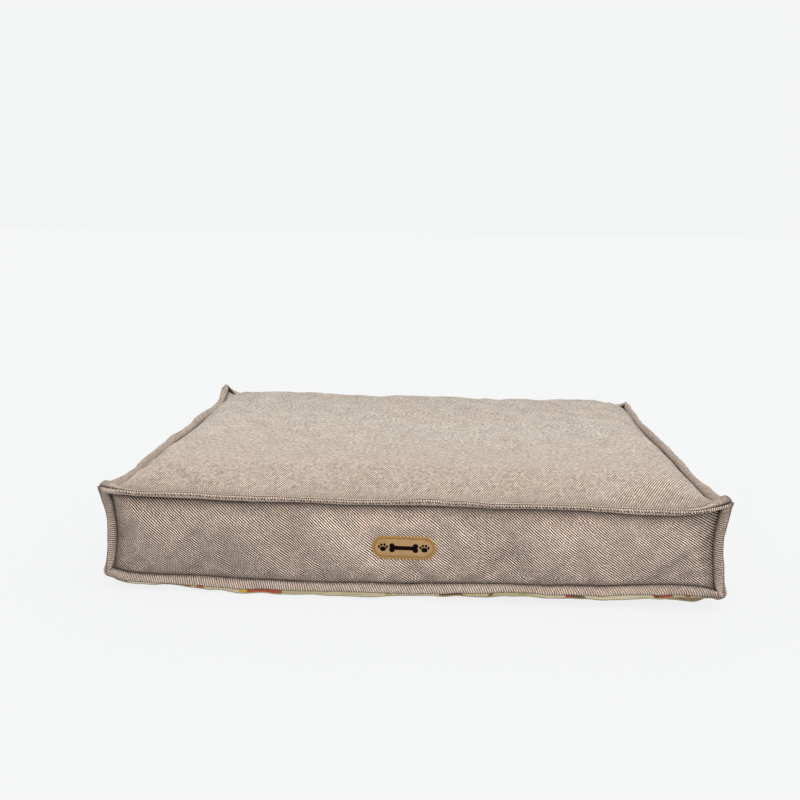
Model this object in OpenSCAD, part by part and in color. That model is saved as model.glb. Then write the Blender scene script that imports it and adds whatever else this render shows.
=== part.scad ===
// Pet cushion bed. A fabric box cover holds a lined foam pad. Every edge of the
// cover has a stand-up flange: the two panels' margins, turned out at 45 degrees.
// A zip across the back band opens the cover so that the pad comes out.
// Millimetres, +Z up, front towards -Y. The origin is the middle of the underside.

/* [Bed] */
// Width of the bed between its side seams
bed_w = 700; // [500:10:1000]
// Depth of the bed between its front and back seams
bed_d = 500; // [360:10:800]
// Height of the side bands between the lower and upper seams
band_h = 100; // [70:5:160]
// Height of the crown of the top above its seams
crown_h = 26; // [8:1:28]
// Drop of the underside below its seams
base_drop = 12; // [11:0.5:20]
// Distance from each seam over which the top and underside round off
crown_run = 45; // [40:5:90]
// Bulge of the front and end bands past their seams
band_bulge = 8; // [5:0.5:9]
// Bulge of the back band, which the zip holds flatter
back_bulge = 4; // [3:0.5:5]
// Distance from each seam over which the bands round off
band_run = 30; // [20:1:32]

/* [Cover] */
// Thickness of the cover fabric
fabric_t = 1.5; // [0.8:0.1:1.8]
// Width of the stand-up flange on each seam
flange_w = 12; // [8:0.5:13]
// Thickness of the sewing thread
thread_d = 0.6; // [0.4:0.1:0.8]

/* [Label] */
// Width of the label on the front band
label_w = 74; // [50:1:100]
// Height of the label
label_h = 28; // [22:1:40]
// Thickness of the label
label_t = 1.6; // [1:0.1:2.5]
// Place of the label along the front band
label_x = -5; // [-60:1:60]
// How far the label's middle is over the middle of the band
label_up = 2; // [-10:0.5:10]

/* [Zip] */
// Length of the row of teeth
zip_l = 620; // [420:10:620]
// Width of each half of the zip tape
tape_w = 15; // [10:1:16]
// Thickness of the zip tape
tape_t = 0.6; // [0.4:0.1:0.8]
// Width of one row of teeth
teeth_w = 2.5; // [2:0.1:2.6]
// Height of the teeth above the tape
teeth_h = 2; // [1.6:0.1:2]
// Gap between the two rows of teeth, where the slider's bridge runs
teeth_gap = 1.1; // [1:0.1:1.4]
// Half height of the slot in the back band that shows the teeth
slot_half = 6; // [5:0.5:8]
// Length of the zip slider
slider_l = 12; // [10:0.5:16]
// Length of the pull tab from its pivot
pull_l = 24; // [18:1:32]

/* [Pad] */
// Gap between the cover panels and the liner
liner_gap = 0.5; // [0.3:0.1:1]
// Gap between the seams of the bands and the liner
side_gap = 0.5; // [0.5:0.1:4]
// Thickness of the liner fabric
liner_t = 0.8; // [0.4:0.1:1]
// Height of the foam core
foam_h = 96; // [60:1:150]

/* [Hidden] */
$fn = 64;

// Colours of the materials
cover_colour = [0.71, 0.64, 0.58];
base_colour = [0.80, 0.72, 0.55];
thread_colour = [0.36, 0.29, 0.24];
tape_colour = [0.60, 0.53, 0.47];
teeth_colour = [0.45, 0.39, 0.34];
metal_colour = [0.62, 0.55, 0.44];
label_colour = [0.75, 0.55, 0.27];
mark_colour = [0.10, 0.08, 0.07];
liner_colour = [0.93, 0.92, 0.89];
foam_colour = [0.93, 0.88, 0.72];
wadding_colour = [0.97, 0.97, 0.96];

// Heights of the seams and of the zip
low_seam_z = base_drop;
top_seam_z = base_drop + band_h;
zip_z = low_seam_z + band_h / 2;
back_y = bed_d / 2 + back_bulge;
front_y = -bed_d / 2 - band_bulge;

// The flange's cross-section, from the seam outwards. s runs outwards in the
// panel's own plane and n away from it, so that the fold lies along s = n.
tip = flange_w / sqrt(2);
half_t = fabric_t / sqrt(2);
root = 0.6 * fabric_t;
margin_section = [[0, 0], [tip, tip], [tip - half_t, tip + half_t], [-root, 2 * half_t - root], [-root, 0]];

// Where the threads of the flange run, as [s, n]
thread_r = thread_d / 2;
stitch_out = flange_w / 4;
stitch_off = fabric_t + thread_r;
stitch_at = [(stitch_out - stitch_off) / sqrt(2), (stitch_out + stitch_off) / sqrt(2)];
edge_at = (flange_w + thread_r) / sqrt(2);
edge_over = tip - 1;

// The tape runs a little past the stops at each end of the teeth
tape_over = 8;

// Depths of the zip's layers, from the outer face of the back band
tape_out = -fabric_t;
tape_in = -fabric_t - tape_t;
teeth_top = tape_out + teeth_h;
slide_gap = 0.3;
plate_t = 1.2;
upper_plate = teeth_top + slide_gap;
lower_plate = tape_in - slide_gap - plate_t;
teeth_in = teeth_gap / 2;
teeth_far = teeth_in + teeth_w;
cheek_in = teeth_far + slide_gap;
cheek_out = cheek_in + 0.8;
bridge_t = 0.5;

// The slider rests at the closed end, with its pull along the teeth
stop_l = 3;
end_gap = 1;
slider_x = zip_l / 2 - end_gap - slider_l / 2;
tab_start = zip_l / 2 + 2 * stop_l;

// The pull's eye turns under an arch on the slider
arch_w = 2;
arch_r = 2.6;
arch_bore = 1.5;
pull_t = 1.2;
pivot_up = upper_plate + plate_t + 1.1;
eye_half = 1.6;
eye_l = 4;
rail_w = 1.2;

// Heights of the pad's layers
foam_low = low_seam_z + 2;
foam_top = foam_low + foam_h;
pad_side = side_gap + liner_t + 0.2;
pad_inset = fabric_t + liner_gap + liner_t + 0.2;

// Radius of an arc that rises by rise over run and ends level
function arc_radius(run, rise) = (run * run + rise * rise) / (2 * rise);

// Section of a crowned panel, level in the middle and drawn in by inset
module crown_section(half, run, rise, inset) {
  r = arc_radius(run, rise);
  intersection() {
    translate([-half, 0]) square([2 * half, rise - inset]);
    union() {
      translate([run - half, 0]) square([2 * (half - run), rise - inset]);
      for (side = [-1, 1])
        translate([side * (half - run), rise - r]) circle(r - inset, $fn = 180);
    }
  }
}

// A crowned form over a w x h rectangle, rising from z = 0
module crown(w, h, run, rise, inset = 0) {
  intersection() {
    rotate([90, 0, 0]) linear_extrude(h, center = true) crown_section(w / 2, run, rise, inset);
    rotate([90, 0, 90]) linear_extrude(w, center = true) crown_section(h / 2, run, rise, inset);
  }
}

// A margin turned out all round a w x h rectangle, whose normal is +Z
module margin(w, h, section) {
  count = len(section);
  corners = [[-1, -1], [1, -1], [1, 1], [-1, 1]];
  points = [for (p = section) for (c = corners)
    [c[0] * (w / 2 + p[0]), c[1] * (h / 2 + p[0]), p[1]]];
  faces = [for (k = [0 : count - 1]) for (j = [0 : 3])
    let (m = (k + 1) % count, i = (j + 1) % 4)
    [4 * k + j, 4 * m + j, 4 * m + i, 4 * k + i]];
  polyhedron(points, faces);
}

// A crowned panel of fabric with its margin, rising from z = 0
module crowned_panel(w, h, run, rise) {
  difference() {
    crown(w, h, run, rise);
    crown(w, h, run, rise, fabric_t);
  }
  margin(w, h, margin_section);
}

// Stands a panel up on one side of the bed: the front, turned about Z by turn
module stand(turn, out) {
  rotate([0, 0, turn])
    translate([0, -out, zip_z])
      rotate([90, 0, 0])
        children();
}

// The whole back band, before the zip divides it
module back_band() {
  stand(180, bed_d / 2) crowned_panel(bed_w, band_h, band_run, back_bulge);
}

// A slab from z_low to z_high, past the bed all round
module slab(z_low, z_high) {
  translate([-bed_w, -bed_d, z_low]) cube([2 * bed_w, 2 * bed_d, z_high - z_low]);
}

// A straight thread of length l along X
module thread_x(l) {
  rotate([0, 90, 0]) cylinder(h = l, r = thread_r, center = true, $fn = 24);
}

// Four threads round the bed, out by s from its seams and at height z
module thread_round(s, z, over) {
  for (side = [-1, 1]) {
    translate([0, side * (bed_d / 2 + s), z]) thread_x(bed_w + 2 * over);
    translate([side * (bed_w / 2 + s), 0, z]) rotate([0, 0, 90]) thread_x(bed_d + 2 * over);
  }
}

// Upright threads at the four corners, out by sx and sy from the side seams
module thread_corners(sx, sy, over) {
  for (x = [-1, 1]) for (y = [-1, 1])
    translate([x * (bed_w / 2 + sx), y * (bed_d / 2 + sy), zip_z])
      rotate([0, 90, 0]) thread_x(band_h + 2 * over);
}

// The end of the back band beyond the teeth, on the side given
module zip_end_tab(side) {
  intersection() {
    back_band();
    translate([side > 0 ? tab_start : -bed_w, 0, zip_z - slot_half])
      cube([bed_w - tab_start, bed_d, 2 * slot_half]);
  }
}

// Moves a layer of the zip to the back band. X runs along the zip, Y outwards.
module at_zip() {
  translate([0, back_y, zip_z]) children();
}

// A box between two corners
module span(low, high) {
  translate(low) cube(high - low);
}

// A round-ended outline of size w x h
module stadium(w, h) {
  square([w - h, h], center = true);
  for (side = [-1, 1]) translate([side * (w - h) / 2, 0]) circle(d = h);
}

// Moves a layer of the label to the front band, up from its outer face
module at_label(up) {
  translate([label_x, front_y - up, zip_z + label_up]) rotate([90, 0, 0]) children();
}

// The space inside the cover, drawn in by inset from the panels and by side from the seams
module pad_space(inset, side) {
  half = [bed_w / 2 - side, bed_d / 2 - side];
  intersection() {
    translate([-half[0], -half[1], 0]) cube([2 * half[0], 2 * half[1], top_seam_z + crown_h]);
    union() {
      translate([0, 0, top_seam_z]) crown(bed_w, bed_d, crown_run, crown_h, inset);
      slab(low_seam_z, top_seam_z);
      translate([0, 0, low_seam_z]) mirror([0, 0, 1]) crown(bed_w, bed_d, crown_run, base_drop, inset);
    }
  }
}

module top_panel() {
  color(cover_colour) translate([0, 0, top_seam_z]) crowned_panel(bed_w, bed_d, crown_run, crown_h);
}

module bottom_panel() {
  color(base_colour) translate([0, 0, low_seam_z])
    mirror([0, 0, 1]) crowned_panel(bed_w, bed_d, crown_run, base_drop);
}

module front_band() {
  color(cover_colour) stand(0, bed_d / 2) crowned_panel(bed_w, band_h, band_run, band_bulge);
}

module left_band() {
  color(cover_colour) stand(-90, bed_w / 2) crowned_panel(bed_d, band_h, band_run, band_bulge);
}

module right_band() {
  color(cover_colour) stand(90, bed_w / 2) crowned_panel(bed_d, band_h, band_run, band_bulge);
}

module back_band_upper() {
  color(cover_colour) intersection() {
    back_band();
    slab(zip_z + slot_half, zip_z + band_h);
  }
}

module back_band_lower() {
  color(cover_colour) intersection() {
    back_band();
    slab(zip_z - band_h, zip_z - slot_half);
  }
}

module zip_end_tab_left() {
  color(cover_colour) zip_end_tab(-1);
}

module zip_end_tab_right() {
  color(cover_colour) zip_end_tab(1);
}

// The thread that joins the two panels along the tip of each flange
module edge_seam_top() {
  color(thread_colour) thread_round(edge_at, top_seam_z + edge_at, edge_over);
}

module edge_seam_bottom() {
  color(thread_colour) thread_round(edge_at, low_seam_z - edge_at, edge_over);
}

module edge_seam_corners() {
  color(thread_colour) thread_corners(edge_at, edge_at, edge_over);
}

// The topstitching at the foot of each flange, with a thread on both faces
module topstitch_top() {
  color(thread_colour) {
    thread_round(stitch_at[0], top_seam_z + stitch_at[1], -1);
    thread_round(stitch_at[1], top_seam_z + stitch_at[0], -1);
  }
}

module topstitch_bottom() {
  color(thread_colour) {
    thread_round(stitch_at[0], low_seam_z - stitch_at[1], -1);
    thread_round(stitch_at[1], low_seam_z - stitch_at[0], -1);
  }
}

module topstitch_corners() {
  color(thread_colour) {
    thread_corners(stitch_at[0], stitch_at[1], -1);
    thread_corners(stitch_at[1], stitch_at[0], -1);
  }
}

module zip_tape(side) {
  low = side > 0 ? teeth_in : -teeth_in - tape_w;
  color(tape_colour) at_zip()
    span([-zip_l / 2 - tape_over, tape_in, low], [zip_l / 2 + tape_over, tape_out, low + tape_w]);
}

module zip_tape_upper() {
  zip_tape(1);
}

module zip_tape_lower() {
  zip_tape(-1);
}

// One row of teeth, with its edges rounded along its length
module zip_teeth(side) {
  r = 0.6;
  low = side > 0 ? teeth_in : -teeth_far;
  color(teeth_colour) at_zip()
    rotate([90, 0, 90]) linear_extrude(zip_l, center = true) union() {
      translate([tape_out, low]) square([teeth_h - r, teeth_w]);
      translate([tape_out, low + r]) square([teeth_h, teeth_w - 2 * r]);
      for (z = [low + r, low + teeth_w - r]) translate([teeth_top - r, z]) circle(r);
    }
}

module zip_teeth_upper() {
  zip_teeth(1);
}

module zip_teeth_lower() {
  zip_teeth(-1);
}

// Two clips past the closed end, one on each row
module zip_top_stops() {
  color(metal_colour) at_zip() for (side = [-1, 1])
    mirror([0, 0, side < 0 ? 1 : 0])
      span([zip_l / 2, tape_out, teeth_in], [zip_l / 2 + stop_l, teeth_top + 0.3, teeth_far + 0.2]);
}

// One clip past the open end, across both rows
module zip_bottom_stop() {
  reach = teeth_far + 0.2;
  color(metal_colour) at_zip()
    span([-zip_l / 2 - stop_l, tape_out, -reach], [-zip_l / 2, teeth_top + 0.4, reach]);
}

// The rows of stitching that hold the tape behind the two strips of the back band
module zip_stitching() {
  color(thread_colour) at_zip() for (side = [-1, 1])
    translate([0, thread_r, side * (slot_half + 2)]) thread_x(zip_l + 2 * tape_over);
}

// Outline of the slider's plates, with round ends
module slider_plate() {
  intersection() {
    square([slider_l, 2 * cheek_out], center = true);
    circle(r = slider_l * 0.58);
  }
}

// Two plates, the bridge that joins them between the teeth, and the pull's arch
module zip_slider() {
  top = upper_plate + plate_t;
  color(metal_colour) translate([slider_x, 0, 0]) at_zip() {
    for (y = [upper_plate, lower_plate])
      translate([0, y + plate_t, 0]) rotate([90, 0, 0]) linear_extrude(plate_t) slider_plate();
    span([1.5, lower_plate + 0.5, -bridge_t / 2], [slider_l / 2 - 1.5, upper_plate + 0.5, bridge_t / 2]);
    for (side = [-1, 1]) mirror([0, 0, side < 0 ? 1 : 0])
      span([-slider_l / 3, tape_out + slide_gap, cheek_in], [slider_l / 3, upper_plate + 0.5, cheek_out]);
    linear_extrude(arch_w, center = true) difference() {
      union() {
        translate([0, pivot_up]) circle(arch_r);
        translate([-arch_r, top - 0.4]) square([2 * arch_r, pivot_up - top + 0.4]);
      }
      translate([0, pivot_up]) circle(arch_bore);
      translate([-arch_bore, top]) square([2 * arch_bore, pivot_up - top]);
      translate([-arch_r, upper_plate - 2 * arch_r]) square([2 * arch_r, 2 * arch_r + plate_t - 0.4]);
    }
  }
}

// The pull: a bar under the slider's arch, two rails round the arch, and the tab
module zip_pull() {
  color(metal_colour) translate([slider_x, 0, 0]) at_zip() translate([0, pivot_up, 0]) {
    cylinder(h = 2 * (eye_half + rail_w), r = pull_t / 2, center = true);
    rotate([90, 0, 0]) linear_extrude(pull_t, center = true) difference() {
      union() {
        translate([-eye_l - 2, -eye_half - rail_w]) square([eye_l + 2, 2 * (eye_half + rail_w)]);
        translate([-eye_l - 2, 0]) circle(eye_half + rail_w);
        translate([3.2 - pull_l, -3.2]) square([pull_l - eye_l - 4, 6.4]);
        translate([3.2 - pull_l, 0]) circle(3.2);
      }
      translate([-eye_l, -eye_half]) square([eye_l + 1, 2 * eye_half]);
      translate([3.2 - pull_l, 0]) circle(1.2);
    }
  }
}

module label_patch() {
  color(label_colour) at_label(0) linear_extrude(label_t) stadium(label_w, label_h);
}

// The ring of stitching just inside the label's edge
module label_stitching() {
  color(thread_colour) at_label(label_t) linear_extrude(thread_r) difference() {
    stadium(label_w - 5, label_h - 5);
    stadium(label_w - 5 - 2 * thread_d, label_h - 5 - 2 * thread_d);
  }
}

// A plain bone between two paw prints, in a raised film
module label_mark() {
  bone_l = 0.37 * label_w;
  knob = 3.2;
  color(mark_colour) at_label(label_t) linear_extrude(0.2) {
    square([bone_l, 5], center = true);
    for (x = [-1, 1]) for (y = [-1, 1]) translate([x * bone_l / 2, y * 2.4]) circle(knob);
    for (x = [-1, 1]) translate([x * 0.325 * label_w, -1.6]) {
      circle(3.2);
      for (turn = [-60, -20, 20, 60]) rotate(turn) translate([0, 5.3]) circle(1.5);
    }
  }
}

module inner_liner() {
  inset = fabric_t + liner_gap;
  color(liner_colour) difference() {
    pad_space(inset, side_gap);
    pad_space(inset + liner_t, side_gap + liner_t);
  }
}

module wadding_upper() {
  color(wadding_colour) intersection() {
    pad_space(pad_inset, pad_side);
    slab(foam_top, 2 * top_seam_z);
  }
}

module wadding_lower() {
  color(wadding_colour) intersection() {
    pad_space(pad_inset, pad_side);
    slab(-top_seam_z, foam_low);
  }
}

module foam_core() {
  half = [bed_w / 2 - pad_side, bed_d / 2 - pad_side];
  color(foam_colour) span([-half[0], -half[1], foam_low], [half[0], half[1], foam_top]);
}

top_panel();
bottom_panel();
front_band();
left_band();
right_band();
back_band_upper();
back_band_lower();
zip_end_tab_left();
zip_end_tab_right();
edge_seam_top();
edge_seam_bottom();
edge_seam_corners();
topstitch_top();
topstitch_bottom();
topstitch_corners();
zip_tape_upper();
zip_tape_lower();
zip_teeth_upper();
zip_teeth_lower();
zip_top_stops();
zip_bottom_stop();
zip_stitching();
zip_slider();
zip_pull();
label_patch();
label_stitching();
label_mark();
inner_liner();
wadding_upper();
foam_core();
wadding_lower();
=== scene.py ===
import math

import bmesh
import bpy
import numpy as np
from mathutils import Matrix, Vector


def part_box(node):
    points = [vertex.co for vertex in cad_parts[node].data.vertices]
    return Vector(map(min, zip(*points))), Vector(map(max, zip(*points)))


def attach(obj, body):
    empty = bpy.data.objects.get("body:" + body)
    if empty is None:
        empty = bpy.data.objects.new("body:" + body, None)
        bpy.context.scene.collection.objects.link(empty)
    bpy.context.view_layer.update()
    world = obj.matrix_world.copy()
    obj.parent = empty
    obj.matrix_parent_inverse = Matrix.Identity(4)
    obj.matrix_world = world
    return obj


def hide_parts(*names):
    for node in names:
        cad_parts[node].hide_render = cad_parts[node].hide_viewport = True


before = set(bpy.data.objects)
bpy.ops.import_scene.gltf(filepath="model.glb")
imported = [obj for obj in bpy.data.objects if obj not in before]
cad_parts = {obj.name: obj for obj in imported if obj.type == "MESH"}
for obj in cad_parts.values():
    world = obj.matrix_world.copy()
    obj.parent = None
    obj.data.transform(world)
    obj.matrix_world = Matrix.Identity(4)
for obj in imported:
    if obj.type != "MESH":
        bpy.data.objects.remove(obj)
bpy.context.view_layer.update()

scene = bpy.context.scene
COVER = "cover_and_pad"


# ---- Sizes, in metres, from the frame --------------------------------------------------

FLANGE = 0.012                      # width of the stand-up flange on every seam
CLOTH = 0.0015                      # thickness of the cover cloth
OUT = FLANGE / math.sqrt(2)         # how far the flange's tip stands out each way

half_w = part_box("front_band")[1].x - OUT
half_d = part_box("left_band")[1].y - OUT
low_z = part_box("bottom_panel")[1].z
top_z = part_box("top_panel")[0].z
mid_z = (low_z + top_z) / 2
crown_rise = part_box("top_panel")[1].z - top_z
front_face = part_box("label_patch")[1].y
back_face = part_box("zip_stitching")[0].y
slot_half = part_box("back_band_upper")[0].z - mid_z
tab_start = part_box("zip_end_tab_right")[0].x

X, Y, Z = np.eye(3)
HALF = np.array([half_w, half_d, (top_z - low_z) / 2])
MIDDLE = np.array([0, 0, mid_z])

# Each panel of the cover: the axes u and v in its plane, its outward normal n, how far it
# rises over its seams, within what distance, and how steeply it starts (under 1, steeper).
PANELS = {
    "top": dict(u=X, v=Y, n=Z, rise=crown_rise, run=0.050, steep=0.85),
    "bottom": dict(u=X, v=-Y, n=-Z, rise=low_z, run=0.017, steep=0.8),
    "front": dict(u=X, v=Z, n=-Y, rise=-half_d - front_face, run=0.046, steep=0.66),
    "back": dict(u=-X, v=Z, n=Y, rise=back_face - half_d, run=0.030, steep=0.80),
    "right": dict(u=Y, v=Z, n=X, rise=-half_d - front_face, run=0.046, steep=0.66),
    "left": dict(u=-Y, v=Z, n=-X, rise=-half_d - front_face, run=0.046, steep=0.66),
}
BAND_SLOPE = math.radians(-41)      # the ribs of the bands run down to the right
TOP_SLOPE = math.radians(55)        # those of the top run up to the right
SLOPES = {name: TOP_SLOPE if name == "top" else BAND_SLOPE for name in PANELS}
BANDS = ("front", "left", "right", "back")
NAP_SHEEN_WARM, NAP_SHEEN_COOL = (0.338, 0.293, 0.245), (0.320, 0.293, 0.252)      # the brushed pile, its greyness partly painted sheen
CELL = 0.0085                       # spacing of the simulated cloth's grid
FINE = 0.004                        # spacing of the finished cloth's grid


def reach(panel, axis):
    """Half the panel's size along one of its own axes."""
    return float(abs(PANELS[panel][axis]) @ HALF)


# ---- Noise ------------------------------------------------------------------------------

def noise(x, y, cell, seed):
    """Smooth value noise between -1 and 1 on a square lattice of that cell."""
    table = np.random.default_rng(seed).uniform(-1, 1, (64, 64))
    fx, fy = np.asarray(x) / cell, np.asarray(y) / cell
    ix, iy = np.floor(fx).astype(int), np.floor(fy).astype(int)
    tx, ty = fx - ix, fy - iy
    tx, ty = tx * tx * (3 - 2 * tx), ty * ty * (3 - 2 * ty)
    near = table[ix % 64, iy % 64] * (1 - tx) + table[(ix + 1) % 64, iy % 64] * tx
    far = table[ix % 64, (iy + 1) % 64] * (1 - tx) + table[(ix + 1) % 64, (iy + 1) % 64] * tx
    return near * (1 - ty) + far * ty


def noise_3d(p, cell, seed):
    """Noise at points p (..., 3), the same for every panel that shares the point."""
    along = p[..., 0] + 0.83 * p[..., 1] + 0.47 * p[..., 2]
    across = 0.71 * p[..., 1] - 0.62 * p[..., 0] + 1.13 * p[..., 2]
    return noise(along, across, cell, seed)


# ---- The cover's form --------------------------------------------------------------------

def arc(distance, run, rise):
    """Share of the rise reached at a distance from the seam, on an arc that ends level."""
    radius = (run * run + rise * rise) / (2 * rise)
    left = np.clip(run - distance, 0, run)
    return np.clip((np.sqrt(radius**2 - left**2) - (radius - rise)) / rise, 0, 1)


def ease(t):
    """A smooth step from 0 to 1."""
    t = np.clip(t, 0, 1)
    return t * t * (3 - 2 * t)


def bell(t):
    return np.exp(-t * t)


def fade(distance, length):
    """1 up to a place, dying away over the length beyond it."""
    return np.exp(-np.clip(distance, 0, 1) / length)


def settle(p):
    """Where points of the plain box go once the cover is filled and stands on the floor."""
    x, y, z = p[..., 0], p[..., 1], p[..., 2]
    side, end = half_w - np.abs(x), half_d - np.abs(y)
    height = np.clip((z - low_z) / (top_z - low_z), 0, 1)
    corner = np.exp(-(np.clip(side, 0, 1) + np.clip(end, 0, 1)) / 0.018)
    front = fade(y + half_d, 0.070)
    moved = p.copy()

    # The corners are drawn up, each by its own amount
    up = 0.0085 + height * (0.0017 - 0.0011 * np.sign(x) - 0.0030 * np.sign(x * y))
    up += (1 - height) * 0.0028
    up += height * 0.0025 * (x < 0) * (y > 0)
    moved[..., 2] += up * corner

    # The lower front edge lifts off the floor, most of all to the right
    lift = 0.0015 + 0.0050 * ease((x + 0.05) / 0.30) + 0.0025 * bell((x + 0.255) / 0.055)
    lift = lift + 0.0018 * ease((x + 0.10) / 0.08) + 0.0060 * ease((x - 0.20) / 0.11)
    moved[..., 2] += front * (1 - height) * lift * (1 - corner)

    # The upper edges stand a little high in front and far left, and dip at the front right
    moved[..., 2] += height * 0.0020 * fade(y + half_d, 0.030)
    moved[..., 2] += height * 0.0042 * fade(half_d - y, 0.030) * fade(half_w + x, 0.060)
    moved[..., 2] -= 0.0030 * front * height * bell((x - 0.285) / 0.040)
    seam = fade(np.minimum(np.abs(z - low_z), np.abs(z - top_z)), 0.030)
    moved[..., 2] += seam * (0.0012 * noise_3d(p, 0.110, 3) + 0.0007 * noise_3d(p, 0.045, 4))

    # The upright seams bow in halfway up, and the long seams wander
    flare = 0.0020 + 0.0020 * (1 - height) - 0.0050 * (4 * height * (1 - height))
    moved[..., 0] += np.sign(x) * corner * flare
    moved[..., 1] += np.sign(y) * corner * flare
    left, right = (fade(np.abs(x + way * half_w), 0.02) * height for way in (1, -1))
    moved[..., 0] -= left * (0.0050 * bell((y + 0.02) / 0.07) - 0.0030 * bell((y + 0.18) / 0.04))
    moved[..., 0] += right * 0.0028 * bell((y + 0.03) / 0.15)
    edge = fade(np.minimum(side, end), 0.020)
    moved[..., 0] += 0.0012 * edge * noise_3d(p, 0.090, 5)
    moved[..., 1] += 0.0012 * edge * noise_3d(p, 0.090, 6)
    return moved


def folds(panel, u, v):
    """Soft upright folds of a side band, deeper below, and drag lines near its ends."""
    half_u, half_v = reach(panel, "u"), reach(panel, "v")
    sloped = u + 0.45 * v + 0.9 * half_u
    below = ease((0.6 * half_v - v) / (1.6 * half_v))
    broad = 0.0035 * noise(sloped, 0.35 * v, 0.062, 10)
    gathered = 0.0024 * below * noise(u + 0.2 * v, 0.3 * v, 0.024, 11)
    drag = 0.0012 * noise(u - 0.9 * v, 0.2 * (u + v), 0.018, 12) * bell((half_u - np.abs(u)) / 0.11)
    return broad + gathered + drag


def form(panel, us, vs):
    """The designed surface of one panel at the grid of us by vs, before any simulation."""
    info = PANELS[panel]
    half_u, half_v = reach(panel, "u"), reach(panel, "v")
    u, v = np.meshgrid(us, vs, indexing="ij")
    swell_u = arc(half_u - np.abs(u), info["run"], info["rise"])
    swell_v = arc(half_v - np.abs(v), info["run"], info["rise"])
    both = swell_u * swell_v
    swell = (both / (swell_u + swell_v - both + 1e-9)) ** info["steep"]
    depth = float(abs(info["n"]) @ HALF)
    flat = MIDDLE + u[..., None] * info["u"] + v[..., None] * info["v"] + depth * info["n"]
    p = settle(flat)
    lift = info["rise"] * swell
    if panel == "bottom":
        lift = lift + (p[..., 2] - low_z) * swell
    if panel == "top":
        inner = ease((half_u - np.abs(u)) / 0.09) * ease((half_v - np.abs(v)) / 0.09)
        lift = lift + inner * (0.0016 * noise(u, v, 0.17, 8) + 0.0009 * noise(u, v, 0.07, 9))
        lift = lift + inner * (0.0033 + 0.0025 * ease((v - 0.05) / 0.15) * ease((-u - 0.05) / 0.2))
    if panel in BANDS:
        lift = lift + folds(panel, u, v) * swell
    if panel == "front":
        lift = lift * (1 + 0.40 * v / half_v * ease((-u - 0.05) / 0.15))
    return p + lift[..., None] * info["n"]


def steps(half, cell):
    count = max(2, round(2 * half / cell))
    return np.linspace(-half, half, count + 1)


def cover_grids():
    """The designed surface of every panel, on grids that meet along the seams."""
    return {
        name: form(name, steps(reach(name, "u"), CELL), steps(reach(name, "v"), CELL))
        for name in PANELS
    }


def joined(grids):
    """The grids as one closed mesh: points, quads, and each grid's numbers in it."""
    points, numbers, quads, seen = [], {}, [], {}
    for name, grid in grids.items():
        count = np.zeros(grid.shape[:2], int)
        for i in range(grid.shape[0]):
            for j in range(grid.shape[1]):
                key = tuple(np.round(grid[i, j], 6))
                on_edge = i in (0, grid.shape[0] - 1) or j in (0, grid.shape[1] - 1)
                if on_edge and key in seen:
                    count[i, j] = seen[key]
                    continue
                count[i, j] = len(points)
                points.append(grid[i, j])
                if on_edge:
                    seen[key] = count[i, j]
        numbers[name] = count
        a, b, c, d = count[:-1, :-1], count[1:, :-1], count[1:, 1:], count[:-1, 1:]
        quads += np.stack([a, b, c, d], -1).reshape(-1, 4).tolist()
    return np.array(points), quads, numbers, sorted(seen.values())


SIM_FRAMES = 16
SIM_CAP = 0.0045                    # how far the simulation may move the cloth


def simulate(points, quads, pinned):
    """Lets the slack cloth find its own folds over the pressure of the pad inside."""
    mesh = bpy.data.meshes.new("cloth_form")
    mesh.from_pydata(points.tolist(), [], quads)
    cloth = bpy.data.objects.new("cloth_form", mesh)
    scene.collection.objects.link(cloth)
    held = cloth.vertex_groups.new(name="held")
    held.add(list(range(len(points))), 0.04, "REPLACE")         # a light hold everywhere
    held.add([int(k) for k in pinned], 1.0, "REPLACE")
    modifier = cloth.modifiers.new("Cloth", "CLOTH")
    setting = modifier.settings
    setting.quality = 6
    setting.mass = 0.3
    setting.tension_stiffness = 20
    setting.compression_stiffness = 12
    setting.shear_stiffness = 6
    setting.bending_stiffness = 0.35
    setting.air_damping = 2
    setting.use_pressure = True
    setting.uniform_pressure_force = 2.2
    setting.shrink_min = -0.022
    setting.vertex_group_mass = "held"
    setting.pin_stiffness = 1
    setting.effector_weights.gravity = 0
    modifier.collision_settings.use_collision = False
    modifier.point_cache.frame_start = 1
    modifier.point_cache.frame_end = SIM_FRAMES
    for number in range(1, SIM_FRAMES + 1):
        scene.frame_set(number)
    shown = cloth.evaluated_get(bpy.context.evaluated_depsgraph_get())
    found = np.zeros(len(points) * 3, np.float32)
    shown.data.vertices.foreach_get("co", found)
    scene.frame_set(1)
    bpy.data.objects.remove(cloth)
    bpy.data.meshes.remove(mesh)
    return found.reshape(-1, 3).astype(float)


def capped(moved, limit):
    """The same movement, eased off so that it never passes the limit."""
    length = np.linalg.norm(moved, axis=-1, keepdims=True) + 1e-12
    return moved / length * limit * np.tanh(length / limit)


def flat_patch(grid, panel):
    """1 where a label or the zip holds the cloth flat, 0 where it is free."""
    x, z = grid[..., 0], grid[..., 2] - mid_z
    if panel == "front":
        low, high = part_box("label_patch")
        gap_x = np.maximum(low.x - x, x - high.x)
        gap_z = np.maximum(low.z - mid_z - z, z - high.z + mid_z)
        return 1 - ease((np.maximum(gap_x, gap_z) + 0.004) / 0.020)
    if panel == "back":
        return 1 - ease((np.abs(z) - 0.016) / 0.014)
    return np.zeros(x.shape)


def settle_cloth():
    """How far the simulation moves every panel's grid, and the grids' joined mesh."""
    points, quads, numbers, pinned = joined(cover_grids())
    moved = np.zeros_like(points)
    moved = capped(simulate(points, quads, pinned) - points, SIM_CAP)
    return {name: moved[count] for name, count in numbers.items()}, quads, numbers


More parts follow.
